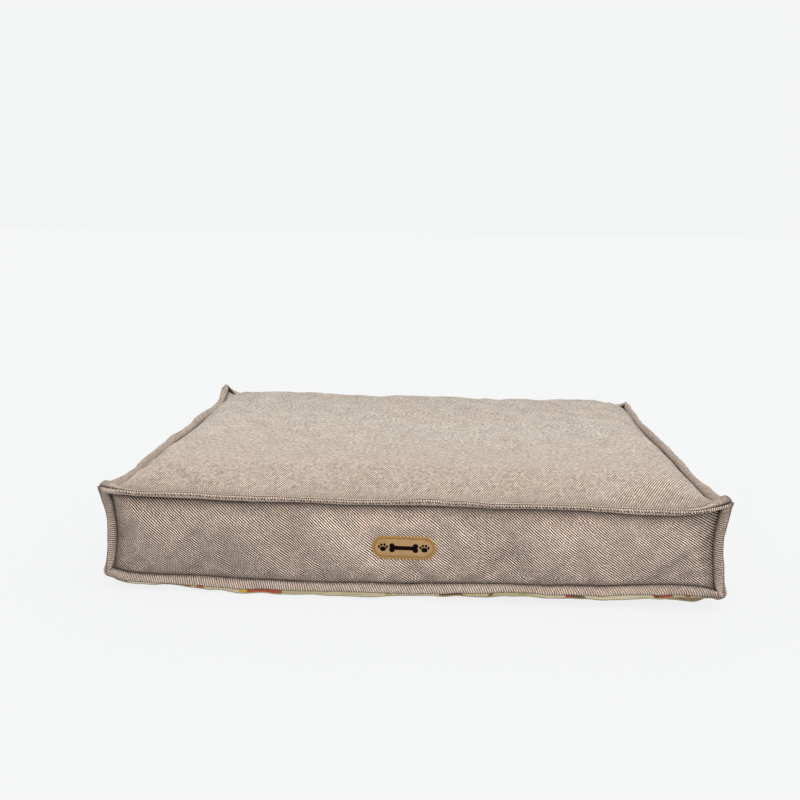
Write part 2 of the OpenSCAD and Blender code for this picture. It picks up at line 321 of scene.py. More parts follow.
def resample(grid, places, axis):
    """Cubic interpolation of a grid at fractional places along one axis."""
    grid = np.moveaxis(grid, axis, 0)
    last = grid.shape[0] - 1
    base = np.clip(np.floor(places).astype(int), 0, last - 1)
    t = (places - base).reshape((-1,) + (1,) * (grid.ndim - 1))
    before = np.where((base > 0).reshape(t.shape), grid[np.maximum(base - 1, 0)],
                      2 * grid[base] - grid[base + 1])
    after = np.where((base < last - 1).reshape(t.shape), grid[np.minimum(base + 2, last)],
                     2 * grid[base + 1] - grid[base])
    a, b = grid[base], grid[base + 1]
    value = a + 0.5 * t * (b - before + t * (2 * before - 5 * a + 4 * b - after
                                             + t * (3 * (a - b) + after - before)))
    return np.moveaxis(value, 0, axis)


def settled(panel, us, vs):
    """The panel's settled surface at us by vs, flat where a label or the zip holds it."""
    shift = shifts[panel]
    half_u, half_v = reach(panel, "u"), reach(panel, "v")
    rows = (us + half_u) / (2 * half_u) * (shift.shape[0] - 1)
    columns = (vs + half_v) / (2 * half_v) * (shift.shape[1] - 1)
    grid = form(panel, us, vs) + resample(resample(shift, rows, 0), columns, 1)
    held = flat_patch(grid, panel)
    if panel == "front":
        grid[..., 1] += (front_face - grid[..., 1]) * held
    if panel == "back":
        from_seam = ease((half_u - np.abs(us)) / 0.012)[:, None]
        grid[..., 1] += (back_face - grid[..., 1]) * held * from_seam
        grid[..., 2] += (mid_z + vs - grid[..., 2]) * held * from_seam
    if panel == "bottom":
        grid[..., 2] = np.maximum(grid[..., 2], 0)
    return grid


def grid_normals(grid):
    du = np.gradient(grid, axis=0)
    dv = np.gradient(grid, axis=1)
    n = np.cross(du, dv)
    return n / np.linalg.norm(n, axis=-1, keepdims=True)


# ---- Building meshes ---------------------------------------------------------------------

def mesh_of(points, faces):
    mesh = bpy.data.meshes.new("piece")
    mesh.from_pydata(np.asarray(points).tolist(), [], faces)
    mesh.validate()
    return mesh


def make_piece(name, node, mesh, material, body=COVER, smooth=True):
    """Puts a mesh in the scene as the piece that stands for one CAD node."""
    mesh.name = name
    mesh.polygons.foreach_set("use_smooth", [smooth] * len(mesh.polygons))
    mesh.materials.clear()
    mesh.materials.append(material)
    made = bpy.data.objects.new(name, mesh)
    scene.collection.objects.link(made)
    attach(made, body)
    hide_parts(node)
    return made


def set_weave(made, values):
    """Stores each point's place in the cloth, in metres, and how much painted shade darkens it
    there (below 0 it is painted light, which makes it lighter). On the label the third number
    is the distance from the rim instead."""
    attribute = made.data.attributes.new("weave", "FLOAT_VECTOR", "POINT")
    attribute.data.foreach_set("vector", np.asarray(values, np.float32).ravel())


def set_margin(made, values):
    """Stores 1 at points of the turned-out margin, where the pile is rubbed, 0 elsewhere."""
    attribute = made.data.attributes.new("margin", "FLOAT", "POINT")
    attribute.data.foreach_set("value", np.asarray(values, np.float32))


def stack_faces(first, rings, count):
    """Faces of a closed solid made of a stack of rings, its points numbered from first."""
    faces = []
    for ring in range(rings - 1):
        for k in range(count):
            a, b = first + ring * count + k, first + ring * count + (k + 1) % count
            faces.append([a, b, b + count, a + count])
    faces.append([first + k for k in range(count)][::-1])
    faces.append([first + (rings - 1) * count + k for k in range(count)])
    return faces


# One layer of the flange from the crease to the tip and back along the fold: the distance
# from the crease over the flange's width, the height over the fold in metres, and how much
# painted shade darkens the cloth there, in the crease, the groove at the tip and the layer beneath
LAYER = [
    (0.03, 0.0008, 1.0), (0.08, 0.0016, 0.8), (0.18, 0.0023, 0.35), (0.34, 0.0027, 0.0),
    (0.54, 0.0027, 0.0), (0.72, 0.0024, 0.0), (0.86, 0.0019, 0.0), (0.95, 0.0012, 0.0),
    (1.00, 0.0006, 0.15), (0.985, 0.00015, 0.6), (0.93, 0.00003, 1.0), (0.50, 0.00002, 1.0),
    (0.08, 0.00002, 1.0),
]
CREASES = {                         # how strong the painted shade in each crease is, and over what width
    "top": {"u0": (0.8, 0.0030), "u1": (0.8, 0.0030), "v0": (0.8, 0.0020), "v1": (0.8, 0.0020)},
    "band": {"u0": (0.52, 0.0080), "u1": (0.52, 0.0080), "v0": (0.6, 0.0030), "v1": (1.0, 0.0038)},
}
EAR = 0.012                         # distance over which the flange is drawn to a corner
HEM_R = CLOTH / 2                   # radius of the rolled hem on an edge without a flange
STAND, STAND_FRONT = 1.25, 0.84     # how much the top flange leans up rather than out
ACROSS_RIBS = math.radians(-64)     # the ribs' slope on flanges that run level
UP_RIBS = math.radians(-10)         # and on those that run up the corners


def turned(pts):
    """The flange's own waver at points on a seam: a small lean in all three directions."""
    lean = [0.16 * noise_3d(pts, 0.060, 20 + k) + 0.06 * noise_3d(pts, 0.022, 24 + k)
            for k in range(3)]
    return np.stack(lean, -1)


def margin_frames(info, seam, reaches, flanged):
    """Directions out along the flange and off its fold, at points on a piece's outline,
    the pull towards the neighbours along u and v, and how close a corner is."""
    cu = np.zeros(len(seam))
    cv = np.zeros(len(seam))
    for side, (distance, sign) in reaches.items():
        if side in flanged:
            weight = sign * bell(distance / EAR)
            if side[0] == "u":
                cu = cu + weight
            else:
                cv = cv + weight
    out = cu[:, None] * info["u"] + cv[:, None] * info["v"] + info["n"]
    at_front = fade(seam[:, 1] + half_d, 0.030)
    out[:, 2] *= np.where(out[:, 2] > 0, STAND + (STAND_FRONT - STAND) * at_front, 1)
    out /= np.linalg.norm(out, axis=1, keepdims=True)
    out = out + turned(seam)
    off = info["n"] - (out @ info["n"] / np.sum(out * out, 1))[:, None] * out
    off /= np.linalg.norm(off, axis=1, keepdims=True)
    return out, off, cu, cv, np.abs(cu * cv)


def outline(count_u, count_v):
    """Grid indices round a piece, anticlockwise seen from outside, and each one's side."""
    low = [(i, 0, "v0") for i in range(count_u)]
    right = [(count_u, j, "u1") for j in range(count_v)]
    high = [(i, count_v, "v1") for i in range(count_u, 0, -1)]
    left = [(0, j, "u0") for j in range(count_v, 0, -1)]
    return low + right + high + left


def puckers(grid, us, vs, info, flanged, seed):
    """Small gathers that the topstitching pulls into the cloth beside each flange."""
    u, v = np.meshgrid(us, vs, indexing="ij")
    pull = np.zeros(u.shape)
    for side in flanged:
        line, along = (u, v) if side[0] == "u" else (v, u)
        edge = line.max() if side[1] == "1" else line.min()
        distance = np.abs(line - edge)
        ripple = noise(along, distance * 0.2, 0.011, seed + ord(side[1])) * 0.6
        ripple = ripple + noise(along, distance * 0.3, 0.026, seed + 5 + ord(side[0]))
        pull += ripple * np.exp(-distance / 0.018) * ease(distance / 0.005)
    return grid + (0.0011 * pull)[..., None] * info["n"]


def painted_shading_grid(panel, us, vs, flanged):
    """How much painted shade darkens the cloth over a panel: in the creases along its flanges,
    a little in the hollows between its folds, with painted light on their crests, and over the
    left of the front band."""
    painted_shading = np.zeros((len(us), len(vs)))
    for side in flanged:
        gap = np.abs((us[:, None] if side[0] == "u" else vs[None, :])
                     - {"u0": us[0], "u1": us[-1], "v0": vs[0], "v1": vs[-1]}[side])
        amount, width = CREASES["top" if panel == "top" else "band"][side]
        painted_shading = np.maximum(painted_shading, amount * np.exp(-gap / width))
    if panel in BANDS:
        u, v = np.meshgrid(us, vs, indexing="ij")
        # Painted shade in the hollows of the folds and painted light on their crests
        painted_shading = painted_shading - 36 * folds(panel, u, v) * (1 - painted_shading)
        if panel == "front":
            # Painted shade over the left of the front band
            painted_shading = painted_shading + 0.20 * ease((-u - 0.08) / 0.15) * (1 - painted_shading)
    return painted_shading


def flat_places(grid, us, vs):
    """Each grid point's place in the cloth, measured along the panel's two middle lines."""
    rows, columns = grid.shape[:2]
    along_u = np.linalg.norm(np.diff(grid[:, columns // 2], axis=0), axis=-1)
    along_v = np.linalg.norm(np.diff(grid[rows // 2], axis=0), axis=-1)
    flat_u = np.concatenate([[0], np.cumsum(along_u)])
    flat_v = np.concatenate([[0], np.cumsum(along_v)])
    flat_u += us[rows // 2] - flat_u[rows // 2]
    flat_v += vs[columns // 2] - flat_v[columns // 2]
    return np.stack(np.meshgrid(flat_u, flat_v, indexing="ij"), -1)


def margin_width(panel, seam, corner):
    """The flange's width along a seam. The underside's hangs out in places along the front."""
    width = FLANGE * (1 + 0.06 * noise_3d(seam, 0.035, 30) + 0.03 * noise_3d(seam, 0.014, 31))
    width = width * (1 + 0.05 * corner)
    if panel == "bottom":
        x = seam[:, 0]
        hanging = 0.28 * bell((x + 0.10) / 0.09) + 0.34 * bell((x - 0.13) / 0.05)
        hanging = (hanging + 0.32 * bell((x - 0.27) / 0.06)) * fade(seam[:, 1] + half_d, 0.030)
        width = width * (1.14 + 0.12 * noise_3d(seam, 0.040, 33) + hanging - 0.30 * corner)
    return width


def cloth_faces(number, inner, at, between):
    """Quads of the outer grid, the inner grid, and the loops of points between their rims."""
    outer = np.stack([number[:-1, :-1], number[1:, :-1], number[1:, 1:], number[:-1, 1:]], -1)
    under = np.stack([inner[:-1, :-1], inner[:-1, 1:], inner[1:, 1:], inner[1:, :-1]], -1)
    quads = outer.reshape(-1, 4).tolist() + under.reshape(-1, 4).tolist()
    loops = [number[at[:, 0], at[:, 1]], *between, inner[at[:, 0], at[:, 1]]]
    for a, b in zip(loops[:-1], loops[1:]):
        quads += np.stack([a, b, np.roll(b, -1), np.roll(a, -1)], -1).tolist()
    return quads


def cloth_piece(name, node, panel, us, vs, flanged, cloth, seed):
    """A panel, or part of one, as a closed piece of cloth with its turned-out margins.

    flanged names the sides that carry a flange; the others get a rolled hem. It also
    returns the lines of its flanges, for the thread."""
    info = PANELS[panel]
    grid = puckers(settled(panel, us, vs), us, vs, info, flanged, seed)
    if panel == "bottom":
        grid[..., 2] = np.maximum(grid[..., 2], 0)
    rows, columns = grid.shape[:2]
    place = flat_places(grid, us, vs)

    ring = outline(rows - 1, columns - 1)
    sides = [side for _, _, side in ring]
    at = np.array([(i, j) for i, j, _ in ring])
    seam = grid[at[:, 0], at[:, 1]]
    u, v = us[at[:, 0]], vs[at[:, 1]]
    reaches = {"u0": (u - us[0], -1), "u1": (us[-1] - u, 1),
               "v0": (v - vs[0], -1), "v1": (vs[-1] - v, 1)}
    out, off, cu, cv, corner = margin_frames(info, seam, reaches, flanged)
    on_flange = np.zeros(len(ring), bool)
    for side in flanged:
        on_flange |= reaches[side][0] < 1e-9
    width = margin_width(panel, seam, corner)
    puff = 1.08 + 0.14 * noise_3d(seam, 0.012, 32) + 2.3 * corner
    hem_ways = {"v0": -info["v"], "u1": info["u"], "v1": info["v"], "u0": -info["u"]}
    hem_out = np.array([hem_ways[side] for side in sides])
    runs_level = np.array([side[0] == "v" for side in sides])
    turn = SLOPES[panel] - np.where(runs_level, ACROSS_RIBS, UP_RIBS)
    high = ease((seam[:, 2] - 0.085) / 0.025)       # 1 on the upper flanges, 0 on the lower
    # Painted light on the level upper flanges, whose layer faces down; less on the top panel's layer
    lit = runs_level * (1 - corner) * high * (0.4 if panel == "top" else 1.0)

    points = [grid.reshape(-1, 3)]
    painted_shading = painted_shading_grid(panel, us, vs, flanged)
    weave = [np.concatenate([place, painted_shading[..., None]], -1).reshape(-1, 3)]
    edge = place[at[:, 0], at[:, 1]]
    plain = np.concatenate([edge, np.zeros((len(ring), 1))], 1)
    for k, (share, height, dark) in enumerate(LAYER):
        along = width * share
        flange = seam + along[:, None] * out + (height * puff)[:, None] * off
        angle = math.pi * (k + 1) / len(LAYER)
        hem = seam + HEM_R * math.sin(angle) * hem_out - HEM_R * (1 - math.cos(angle)) * info["n"]
        points.append(np.where(on_flange[:, None], flange, hem))
        x, y = edge[:, 0] + cu * along, edge[:, 1] + cv * along
        # Third number: the layer's painted shade, full on the upper flanges and half on the lower, less
        # the painted light
        strip = np.stack([np.cos(turn) * x - np.sin(turn) * y, np.sin(turn) * x + np.cos(turn) * y,
                          dark * (0.5 + 0.5 * high) - 0.95 * lit * ease(1 - 2 * dark)], -1)
        weave.append(np.where(on_flange[:, None], strip, plain))
    points.append((grid - CLOTH * grid_normals(grid)).reshape(-1, 3))
    weave.append(weave[0])

    number = np.arange(rows * columns).reshape(rows, columns)
    layers = rows * columns + np.arange(len(LAYER) * len(ring)).reshape(len(LAYER), len(ring))
    inner = number + rows * columns + layers.size
    placed = np.concatenate(points)
    placed[:, 2] = np.maximum(placed[:, 2], 0)
    made = make_piece(name, node, mesh_of(placed, cloth_faces(number, inner, at, layers)), cloth)
    set_weave(made, np.concatenate(weave))
    margin = np.zeros(len(placed))
    margin[layers.ravel()] = np.tile(on_flange, len(LAYER))
    set_margin(made, margin)
    return made, {"seam": seam, "out": out, "off": off, "width": width, "on": on_flange}


def polyline_runs(points, keep):
    """The stretches of a closed outline where keep is true."""
    count = len(points)
    if keep.all():
        return [np.concatenate([points, points[:1]])]
    start = int(np.argmin(keep))
    order = [(start + k) % count for k in range(count)]
    runs, current = [], []
    for k in order:
        if keep[k]:
            current.append(points[k])
        elif current:
            runs.append(np.array(current))
            current = []
    if current:
        runs.append(np.array(current))
    return [r for r in runs if len(r) > 2]


def along_line(line, places):
    """Points and directions on a polyline at distances along it."""
    lengths = np.concatenate([[0], np.cumsum(np.linalg.norm(np.diff(line, axis=0), axis=1))])
    spot = np.stack([np.interp(places, lengths, line[:, k]) for k in range(3)], -1)
    ahead = np.stack([np.interp(places + 5e-4, lengths, line[:, k]) for k in range(3)], -1)
    behind = np.stack([np.interp(places - 5e-4, lengths, line[:, k]) for k in range(3)], -1)
    way = ahead - behind
    return spot, way / (np.linalg.norm(way, axis=1, keepdims=True) + 1e-12), lengths[-1]


STITCH_SIDES = 6
STITCH_RINGS = [(-0.5, 0.25), (-0.38, 0.8), (0.0, 1.0), (0.38, 0.8), (0.5, 0.25)]


def stitches(name, node, lines, slot, thread, stitch=0.0030, gap=0.0012, radius=0.00032, slant=0.0):
    """A row of separate stitches along each line, each leaning up by slant."""
    points, faces = [], []
    for line in lines:
        total = along_line(line, np.zeros(1))[2]
        places = np.arange(gap, total - stitch, stitch + gap) + stitch / 2
        if not len(places):
            continue
        spot, way, _ = along_line(line, places)
        way = way + slant * Z
        way /= np.linalg.norm(way, axis=1, keepdims=True)
        side = np.cross(way, [0.31, 0.52, 0.79])
        side /= np.linalg.norm(side, axis=1, keepdims=True)
        up = np.cross(way, side)
        for middle, w, s, t in zip(spot, way, side, up):
            faces += stack_faces(len(points), len(STITCH_RINGS), STITCH_SIDES)
            for place, swell in STITCH_RINGS:
                for k in range(STITCH_SIDES):
                    turn = 2 * math.pi * k / STITCH_SIDES
                    rim = math.cos(turn) * s + math.sin(turn) * t
                    points.append(middle + place * stitch * w + radius * swell * rim)
    make_piece(name, node, mesh_of(points, faces), thread)


# ---- Materials ---------------------------------------------------------------------------

class Value:
    """What a node gives, with the usual arithmetic."""

    def __init__(self, graph, socket):
        self.graph = graph
        self.socket = socket

    def __add__(self, other):
        return self.graph.math("ADD", self, other)

    def __mul__(self, other):
        return self.graph.math("MULTIPLY", self, other)

    def __rsub__(self, other):
        return self.graph.math("SUBTRACT", other, self)

    __radd__ = __add__


class Graph:
    """A short way to write a material's nodes."""

    def __init__(self, name):
        self.material = bpy.data.materials.new(name)
        self.material.use_nodes = True
        self.tree = self.material.node_tree

    def put(self, socket, value):
        if isinstance(value, Value):
            self.tree.links.new(value.socket, socket)
        else:
            socket.default_value = value

    def fill(self, node, *values, **named):
        """Sets a node's inputs, in order or by name, and gives its first output."""
        for socket, value in zip(node.inputs, values):
            self.put(socket, value)
        for key, value in named.items():
            self.put(node.inputs[key.replace("_", " ")], value)
        return Value(self, node.outputs[0])

    def node(self, kind, *values, **named):
        return self.fill(self.tree.nodes.new(kind), *values, **named)

    def math(self, kind, *values):
        made = self.tree.nodes.new("ShaderNodeMath")
        made.operation = kind
        return self.fill(made, *values)

    def vector(self, kind, *values, **named):
        made = self.tree.nodes.new("ShaderNodeVectorMath")
        made.operation = kind
        return self.fill(made, *values, **named)

    def mix(self, share, a, b):
        made = self.tree.nodes.new("ShaderNodeMix")
        made.data_type = "RGBA"
        self.put(made.inputs[0], share)
        self.put(made.inputs[6], a if isinstance(a, Value) else (*a, 1))
        self.put(made.inputs[7], b if isinstance(b, Value) else (*b, 1))
        return Value(self, made.outputs[2])

    def noise(self, vector, scale, detail=2.0, roughness=0.5):
        return self.node("ShaderNodeTexNoise", Vector=vector, Scale=scale, Detail=detail,
                         Roughness=roughness)

    def spread(self, value, low, high, to_low=0.0, to_high=1.0):
        return self.node("ShaderNodeMapRange", value, low, high, to_low, to_high)

    def vary(self, value, amount):
        """A noise value as a swing of that amount to either side of 0."""
        return self.spread(value, 0.3, 0.7, -amount, amount)

    def hump(self, value):
        """Up from 0 to 1 and back, once in every unit of the value."""
        return self.math("SINE", self.math("FRACT", value) * math.pi)

    def wave(self, value, pitch):
        return self.math("SINE", value * (2 * math.pi / pitch))

    def shade(self, colour, amount):
        """The colour, lighter or darker by a value around 1."""
        return self.vector("SCALE", colour, Scale=amount)

    def bump(self, height, distance):
        return self.node("ShaderNodeBump", Height=height, Distance=distance)

    def tint(self, colour):
        made = self.tree.nodes.new("ShaderNodeRGB").outputs[0]
        made.default_value = (*colour, 1)
        return Value(self, made)

    def place(self):
        """The point itself, in metres in the object's own frame."""
        return Value(self, self.tree.nodes.new("ShaderNodeTexCoord").outputs["Object"])

    def stored(self, name, output):
        """A value that the mesh stores at its points."""
        made = self.tree.nodes.new("ShaderNodeAttribute")
        made.attribute_name = name
        return Value(self, made.outputs[output])

    def outputs(self, value):
        """Everything that the value's node gives."""
        return [Value(self, socket) for socket in value.socket.node.outputs]

    def split(self, vector):
        return self.outputs(self.node("ShaderNodeSeparateXYZ", vector))

    def finish(self, **values):
        self.fill(self.tree.nodes["Principled BSDF"], **values)
        return self.material


def chenille(name, light, dark, pitch, slope, napped=False):
    """Chenille twill: soft diagonal ribs of short floats with dark gaps between them.

    pitch is across the ribs and slope their angle from u. Where it is napped the pile has
    been brushed over the ribs, more so away from the front; its greyer colour there is partly
    painted sheen, and the back half is darkened with painted shade."""
    g = Graph(name)
    place, margin = g.stored("weave", "Vector"), g.stored("margin", "Fac")
    _, wander = g.outputs(g.noise(place, 70.0))
    shifted = g.vector("MULTIPLY_ADD", wander, (0.0016, 0.0016, 0.0), place)
    u, v, _ = g.split(shifted)
    _, _, painted_shading = g.split(place)
    _, row, _ = g.split(g.place())
    across = u * (-math.sin(slope) / pitch) + v * (math.cos(slope) / pitch)
    along = u * (math.cos(slope) / (1.5 * pitch)) + v * (math.sin(slope) / (1.5 * pitch))
    rib_number = g.math("FLOOR", across)
    run = along + rib_number * 0.37
    height = g.hump(across) * g.spread(g.hump(run), 0, 1, 0.74, 1.0)
    fibre = g.noise(place, 1500.0, 3.0, 0.6)
    fleck = g.noise(place, 230.0, 4.0, 0.72)
    patch = g.noise(place, 34.0, 4.0, 0.6)
    blotch = g.noise(place, 7.0, 3.0, 0.55)
    yarn = g.tree.nodes.new("ShaderNodeTexWhiteNoise")
    yarn.noise_dimensions = "1D"
    yarn = g.fill(yarn, W=rib_number + g.math("FLOOR", run) * 17.0)

    even = margin * 0.45            # how far the ribs' light and dark run into each other
    if napped:
        even = g.math("MAXIMUM", even, g.spread(patch, 0.45, 0.65, 0.0, 0.50))
    share = g.spread(height, 0.42, 0.80) * (1.0 - even) + even * 0.38
    tone = 1.0 + g.spread(yarn, 0, 1, -0.13, 0.13) + g.vary(fibre, 0.12) + g.vary(patch, 0.07)
    colour = g.shade(g.mix(share, dark, light), tone + g.spread(blotch, 0.35, 0.65, -0.04, 0.04))
    if napped:
        colour = g.shade(colour, g.spread(fleck, 0.3, 0.7, 0.72, 1.28))
        # Brushed pile growing away from the front, its greyer colour partly painted sheen
        nap_and_sheen = g.spread(row + g.vary(patch, 0.05), -0.29, -0.03, 0.08, 0.84) * (1.0 - margin * 0.75)
        pile = g.mix(g.spread(blotch, 0.38, 0.62), NAP_SHEEN_WARM, NAP_SHEEN_COOL)
        # Painted shade: the top grows darker towards the back
        tone = g.spread(row, 0.0, 0.27, 1.0, 0.79) + g.vary(fleck, 0.70)
        tone = tone + g.spread(patch, 0.3, 0.7, -0.18, 0.17) + g.vary(fibre, 0.14)
        colour = g.mix(nap_and_sheen, colour, g.shade(pile, tone))
        height = height * (1.0 - nap_and_sheen) + fleck * nap_and_sheen
    # Painted shade stored with the weave (creases, fold hollows, the front band's left); below 0 it is
    # painted light
    colour = g.shade(colour, 1.0 - painted_shading * 0.85)
    return g.finish(Base_Color=colour, Roughness=0.92, Normal=g.bump(height + fibre * 0.45, 0.0009),
                    Specular_IOR_Level=0.0, Sheen_Weight=0.16 if napped else 0.02, Sheen_Roughness=0.5,
                    Sheen_Tint=(1.0, 0.94, 0.88, 1.0) if napped else (0.9, 0.6, 0.5, 1.0))


def printed_cloth(name):
    """The underside's cloth: cream with loose mustard, russet, brown and olive blotches."""
    g = Graph(name)
    place = g.stored("weave", "Vector")
    u, v, _ = g.split(place)
    height = g.wave(u, 0.0011) * g.wave(v, 0.0011)
    colour = g.mix(g.spread(g.noise(place, 12.0, 3.0), 0.45, 0.60), (0.58, 0.51, 0.35), (0.44, 0.39, 0.23))
    for scale, low, blotch in ((17.0, 0.56, (0.56, 0.33, 0.05)), (23.0, 0.60, (0.34, 0.07, 0.03)),
                               (29.0, 0.61, (0.13, 0.07, 0.04)), (38.0, 0.63, (0.30, 0.34, 0.12))):
        spot = g.noise(g.vector("ADD", place, (scale, 0.3 * scale, 0)), scale, 2.0, 0.45)
        colour = g.mix(g.spread(spot, low, low + 0.02), colour, blotch)
    colour = g.shade(colour, g.spread(height, -1, 1, 0.92, 1.05))
    return g.finish(Base_Color=colour, Roughness=0.85, Normal=g.bump(height, 0.00025),
                    Specular_IOR_Level=0.2, Sheen_Weight=0.1)


def thread_material(name, colour):
    """Spun thread: a tight twist with a slight shine."""
    g = Graph(name)
    x, y, z = g.split(g.place())
    twist = g.wave(x + y + z * 1.3, 0.0008)
    shade = g.spread(twist, -1, 1, 0.75, 1.15)
    return g.finish(Base_Color=g.shade(g.tint(colour), shade), Roughness=0.6,
                    Normal=g.bump(twist, 0.0001), Sheen_Weight=0.2)


def leather(name):
    """Tan faux leather: fine pebble grain, lighter worn rim, faint mottling."""
    g = Graph(name)
    place = g.place()
    cells = g.tree.nodes.new("ShaderNodeTexVoronoi")
    cells.feature = "DISTANCE_TO_EDGE"
    grain = g.spread(g.fill(cells, Vector=place, Scale=1100.0), 0, 0.25)
    broad = g.noise(place, 90.0, 4.0)
    _, _, inset = g.split(g.stored("weave", "Vector"))
    colour = g.mix(g.spread(broad, 0.3, 0.7), (0.41, 0.230, 0.088), (0.50, 0.300, 0.130))
    colour = g.mix(g.spread(inset, 0.0010, 0.0060), (0.43, 0.220, 0.046), colour)
    colour = g.shade(colour, g.spread(grain, 0, 1, 0.86, 1.04))
    return g.finish(Base_Color=colour, Roughness=g.spread(broad, 0.3, 0.7, 0.50, 0.62),
                    Normal=g.bump(grain + g.noise(place, 600.0) * 0.5, 0.00012),
                    Specular_IOR_Level=0.4)


def speckled(name, low, high, scale, roughness, depth, metallic=0.0, specular=0.4):
    """A plain material whose colour, gloss and surface all vary finely."""
    g = Graph(name)
    fine = g.noise(g.place(), scale, 4.0, 0.6)
    broad = g.noise(g.place(), scale / 12, 2.0)
    colour = g.mix(g.spread(fine * 0.5 + broad * 0.5, 0.38, 0.62), low, high)
    return g.finish(Base_Color=colour, Roughness=roughness + g.vary(broad, 0.06),
                    Normal=g.bump(fine, depth), Metallic=metallic, Specular_IOR_Level=specular)


def woven_tape(name, colour):
    """Zip tape: a fine herringbone across the tape."""
    g = Graph(name)
    x, y, z = g.split(g.place())
    fold = g.math("ABSOLUTE", g.math("FRACT", z * (1 / 0.003)) + -0.5)
    wave = g.wave(x + fold * 0.003, 0.0009)
    shade = g.spread(wave, -1, 1, 0.72, 1.12)
    return g.finish(Base_Color=g.shade(g.tint(colour), shade), Roughness=0.8,
                    Normal=g.bump(wave, 0.00015), Sheen_Weight=0.15)


band_cloth = chenille("chenille_bands", (0.85, 0.708, 0.602), (0.060, 0.016, 0.003), 0.00254, BAND_SLOPE)
top_cloth = chenille("chenille_top", (0.66, 0.545, 0.455), (0.075, 0.038, 0.020), 0.00235, TOP_SLOPE,
                     napped=True)
base_cloth = printed_cloth("printed_base")
seam_thread = thread_material("seam_thread", (0.065, 0.035, 0.022))
soft_thread = thread_material("soft_thread", (0.20, 0.13, 0.09))
label_thread_look = thread_material("label_thread", (0.105, 0.045, 0.010))
tan_leather = leather("tan_leather")
ink = speckled("label_ink", (0.0025, 0.0010, 0.0008), (0.006, 0.003, 0.002), 1500.0, 0.75, 0.00004,
               specular=0.04)
zip_tape_look = woven_tape("zip_tape", (0.34, 0.265, 0.21))
nylon = speckled("zip_nylon", (0.17, 0.125, 0.095), (0.23, 0.175, 0.135), 2500.0, 0.35, 0.00002)
brass = speckled("zip_brass", (0.30, 0.22, 0.12), (0.50, 0.39, 0.24), 1800.0, 0.34, 0.00003, 1.0, 0.5)
liner_look = speckled("liner_nonwoven", (0.78, 0.76, 0.70), (0.90, 0.89, 0.85), 700.0, 0.85, 0.0002)
foam_look = speckled("foam_open_cell", (0.66, 0.55, 0.30), (0.86, 0.77, 0.50), 900.0, 0.9, 0.0005)
wadding_look = speckled("wadding_fibre", (0.82, 0.82, 0.80), (0.97, 0.97, 0.96), 260.0, 0.95, 0.0008)


# ---- The cover ---------------------------------------------------------------------------

shifts, form_quads, form_numbers = settle_cloth()
NEAR_SEAM = np.array([0, 0.0008, 0.0018, 0.0032, 0.0052, 0.0080])
TURNED_UNDER = 0.006                # cloth folded behind each raw edge along the zip
ALL_SIDES = ("u0", "u1", "v0", "v1")
cover = {}                          # the lines of every piece's flanges, for the thread


def spaced(low, high):
    """Places from low to high at the fine spacing, closer together beside the two ends."""
    count = max(2, round((high - low - 2 * NEAR_SEAM[-1]) / FINE))
    middle = np.linspace(low + NEAR_SEAM[-1], high - NEAR_SEAM[-1], count + 1)
    return np.concatenate([low + NEAR_SEAM[:-1], middle, high - NEAR_SEAM[-2::-1]])


def cover_piece(node, panel, us, vs, sides, seed, slot="cover_fabric", cloth=None):
    """One cloth piece of the cover, cut to its seams, margins and turned-under edges."""
    made, cover[node] = cloth_piece(node + "_cloth", node, panel, spaced(*us), spaced(*vs), sides,
                                    cloth or band_cloth, seed)
    for axis, (start, stop) in (("u", us), ("v", vs)):
        flanges = len([side for side in sides if side[0] == axis])
        stop - start + FLANGE * flanges + TURNED_UNDER * (2 - flanges)


def whole(panel, axis):
    return -reach(panel, axis), reach(panel, axis)


for node, panel, seed, look in (
    ("top_panel", "top", 40, {"cloth": top_cloth}),
    ("bottom_panel", "bottom", 50, {"cloth": base_cloth, "slot": "base_fabric"}),
    ("front_band", "front", 60, {}),
    ("left_band", "left", 70, {}),
    ("right_band", "right", 80, {}),
):
    cover_piece(node, panel, whole(panel, "u"), whole(panel, "v"), ALL_SIDES, seed, **look)

back_u, (back_low, back_high) = whole("back", "u"), whole("back", "v")
slot_v = (-slot_half, slot_half)
for node, us, vs, sides in (
    ("back_band_upper", back_u, (slot_half, back_high), ("u0", "u1", "v1")),
    ("back_band_lower", back_u, (back_low, -slot_half), ("u0", "u1", "v0")),
    ("zip_end_tab_left", (tab_start, back_u[1]), slot_v, ("u1",)),
    ("zip_end_tab_right", (back_u[0], -tab_start), slot_v, ("u0",)),
):
    cover_piece(node, "back", us, vs, sides, seed=90)


# ---- Thread ------------------------------------------------------------------------------

def is_upright(seam):
    """True where an outline runs up a corner of the bed rather than along a long seam."""
    way = np.roll(seam, -1, 0) - np.roll(seam, 1, 0)
    return np.abs(way[:, 2]) > 0.7 * np.linalg.norm(way, axis=1)


def flange_lines(lines, share, height, keep):
    """The lines on one layer of a piece's flanges, at a share of its width."""
    spot = lines["seam"] + (lines["width"] * share)[:, None] * lines["out"] + height * lines["off"]
    spot[:, 2] = np.maximum(spot[:, 2], 0.0005)
    return polyline_runs(spot, lines["on"] & keep)


def near(z_level):
    return lambda lines: ~is_upright(lines["seam"]) & (np.abs(lines["seam"][:, 2] - z_level) < 0.03)


def upright(lines):
    return is_upright(lines["seam"])


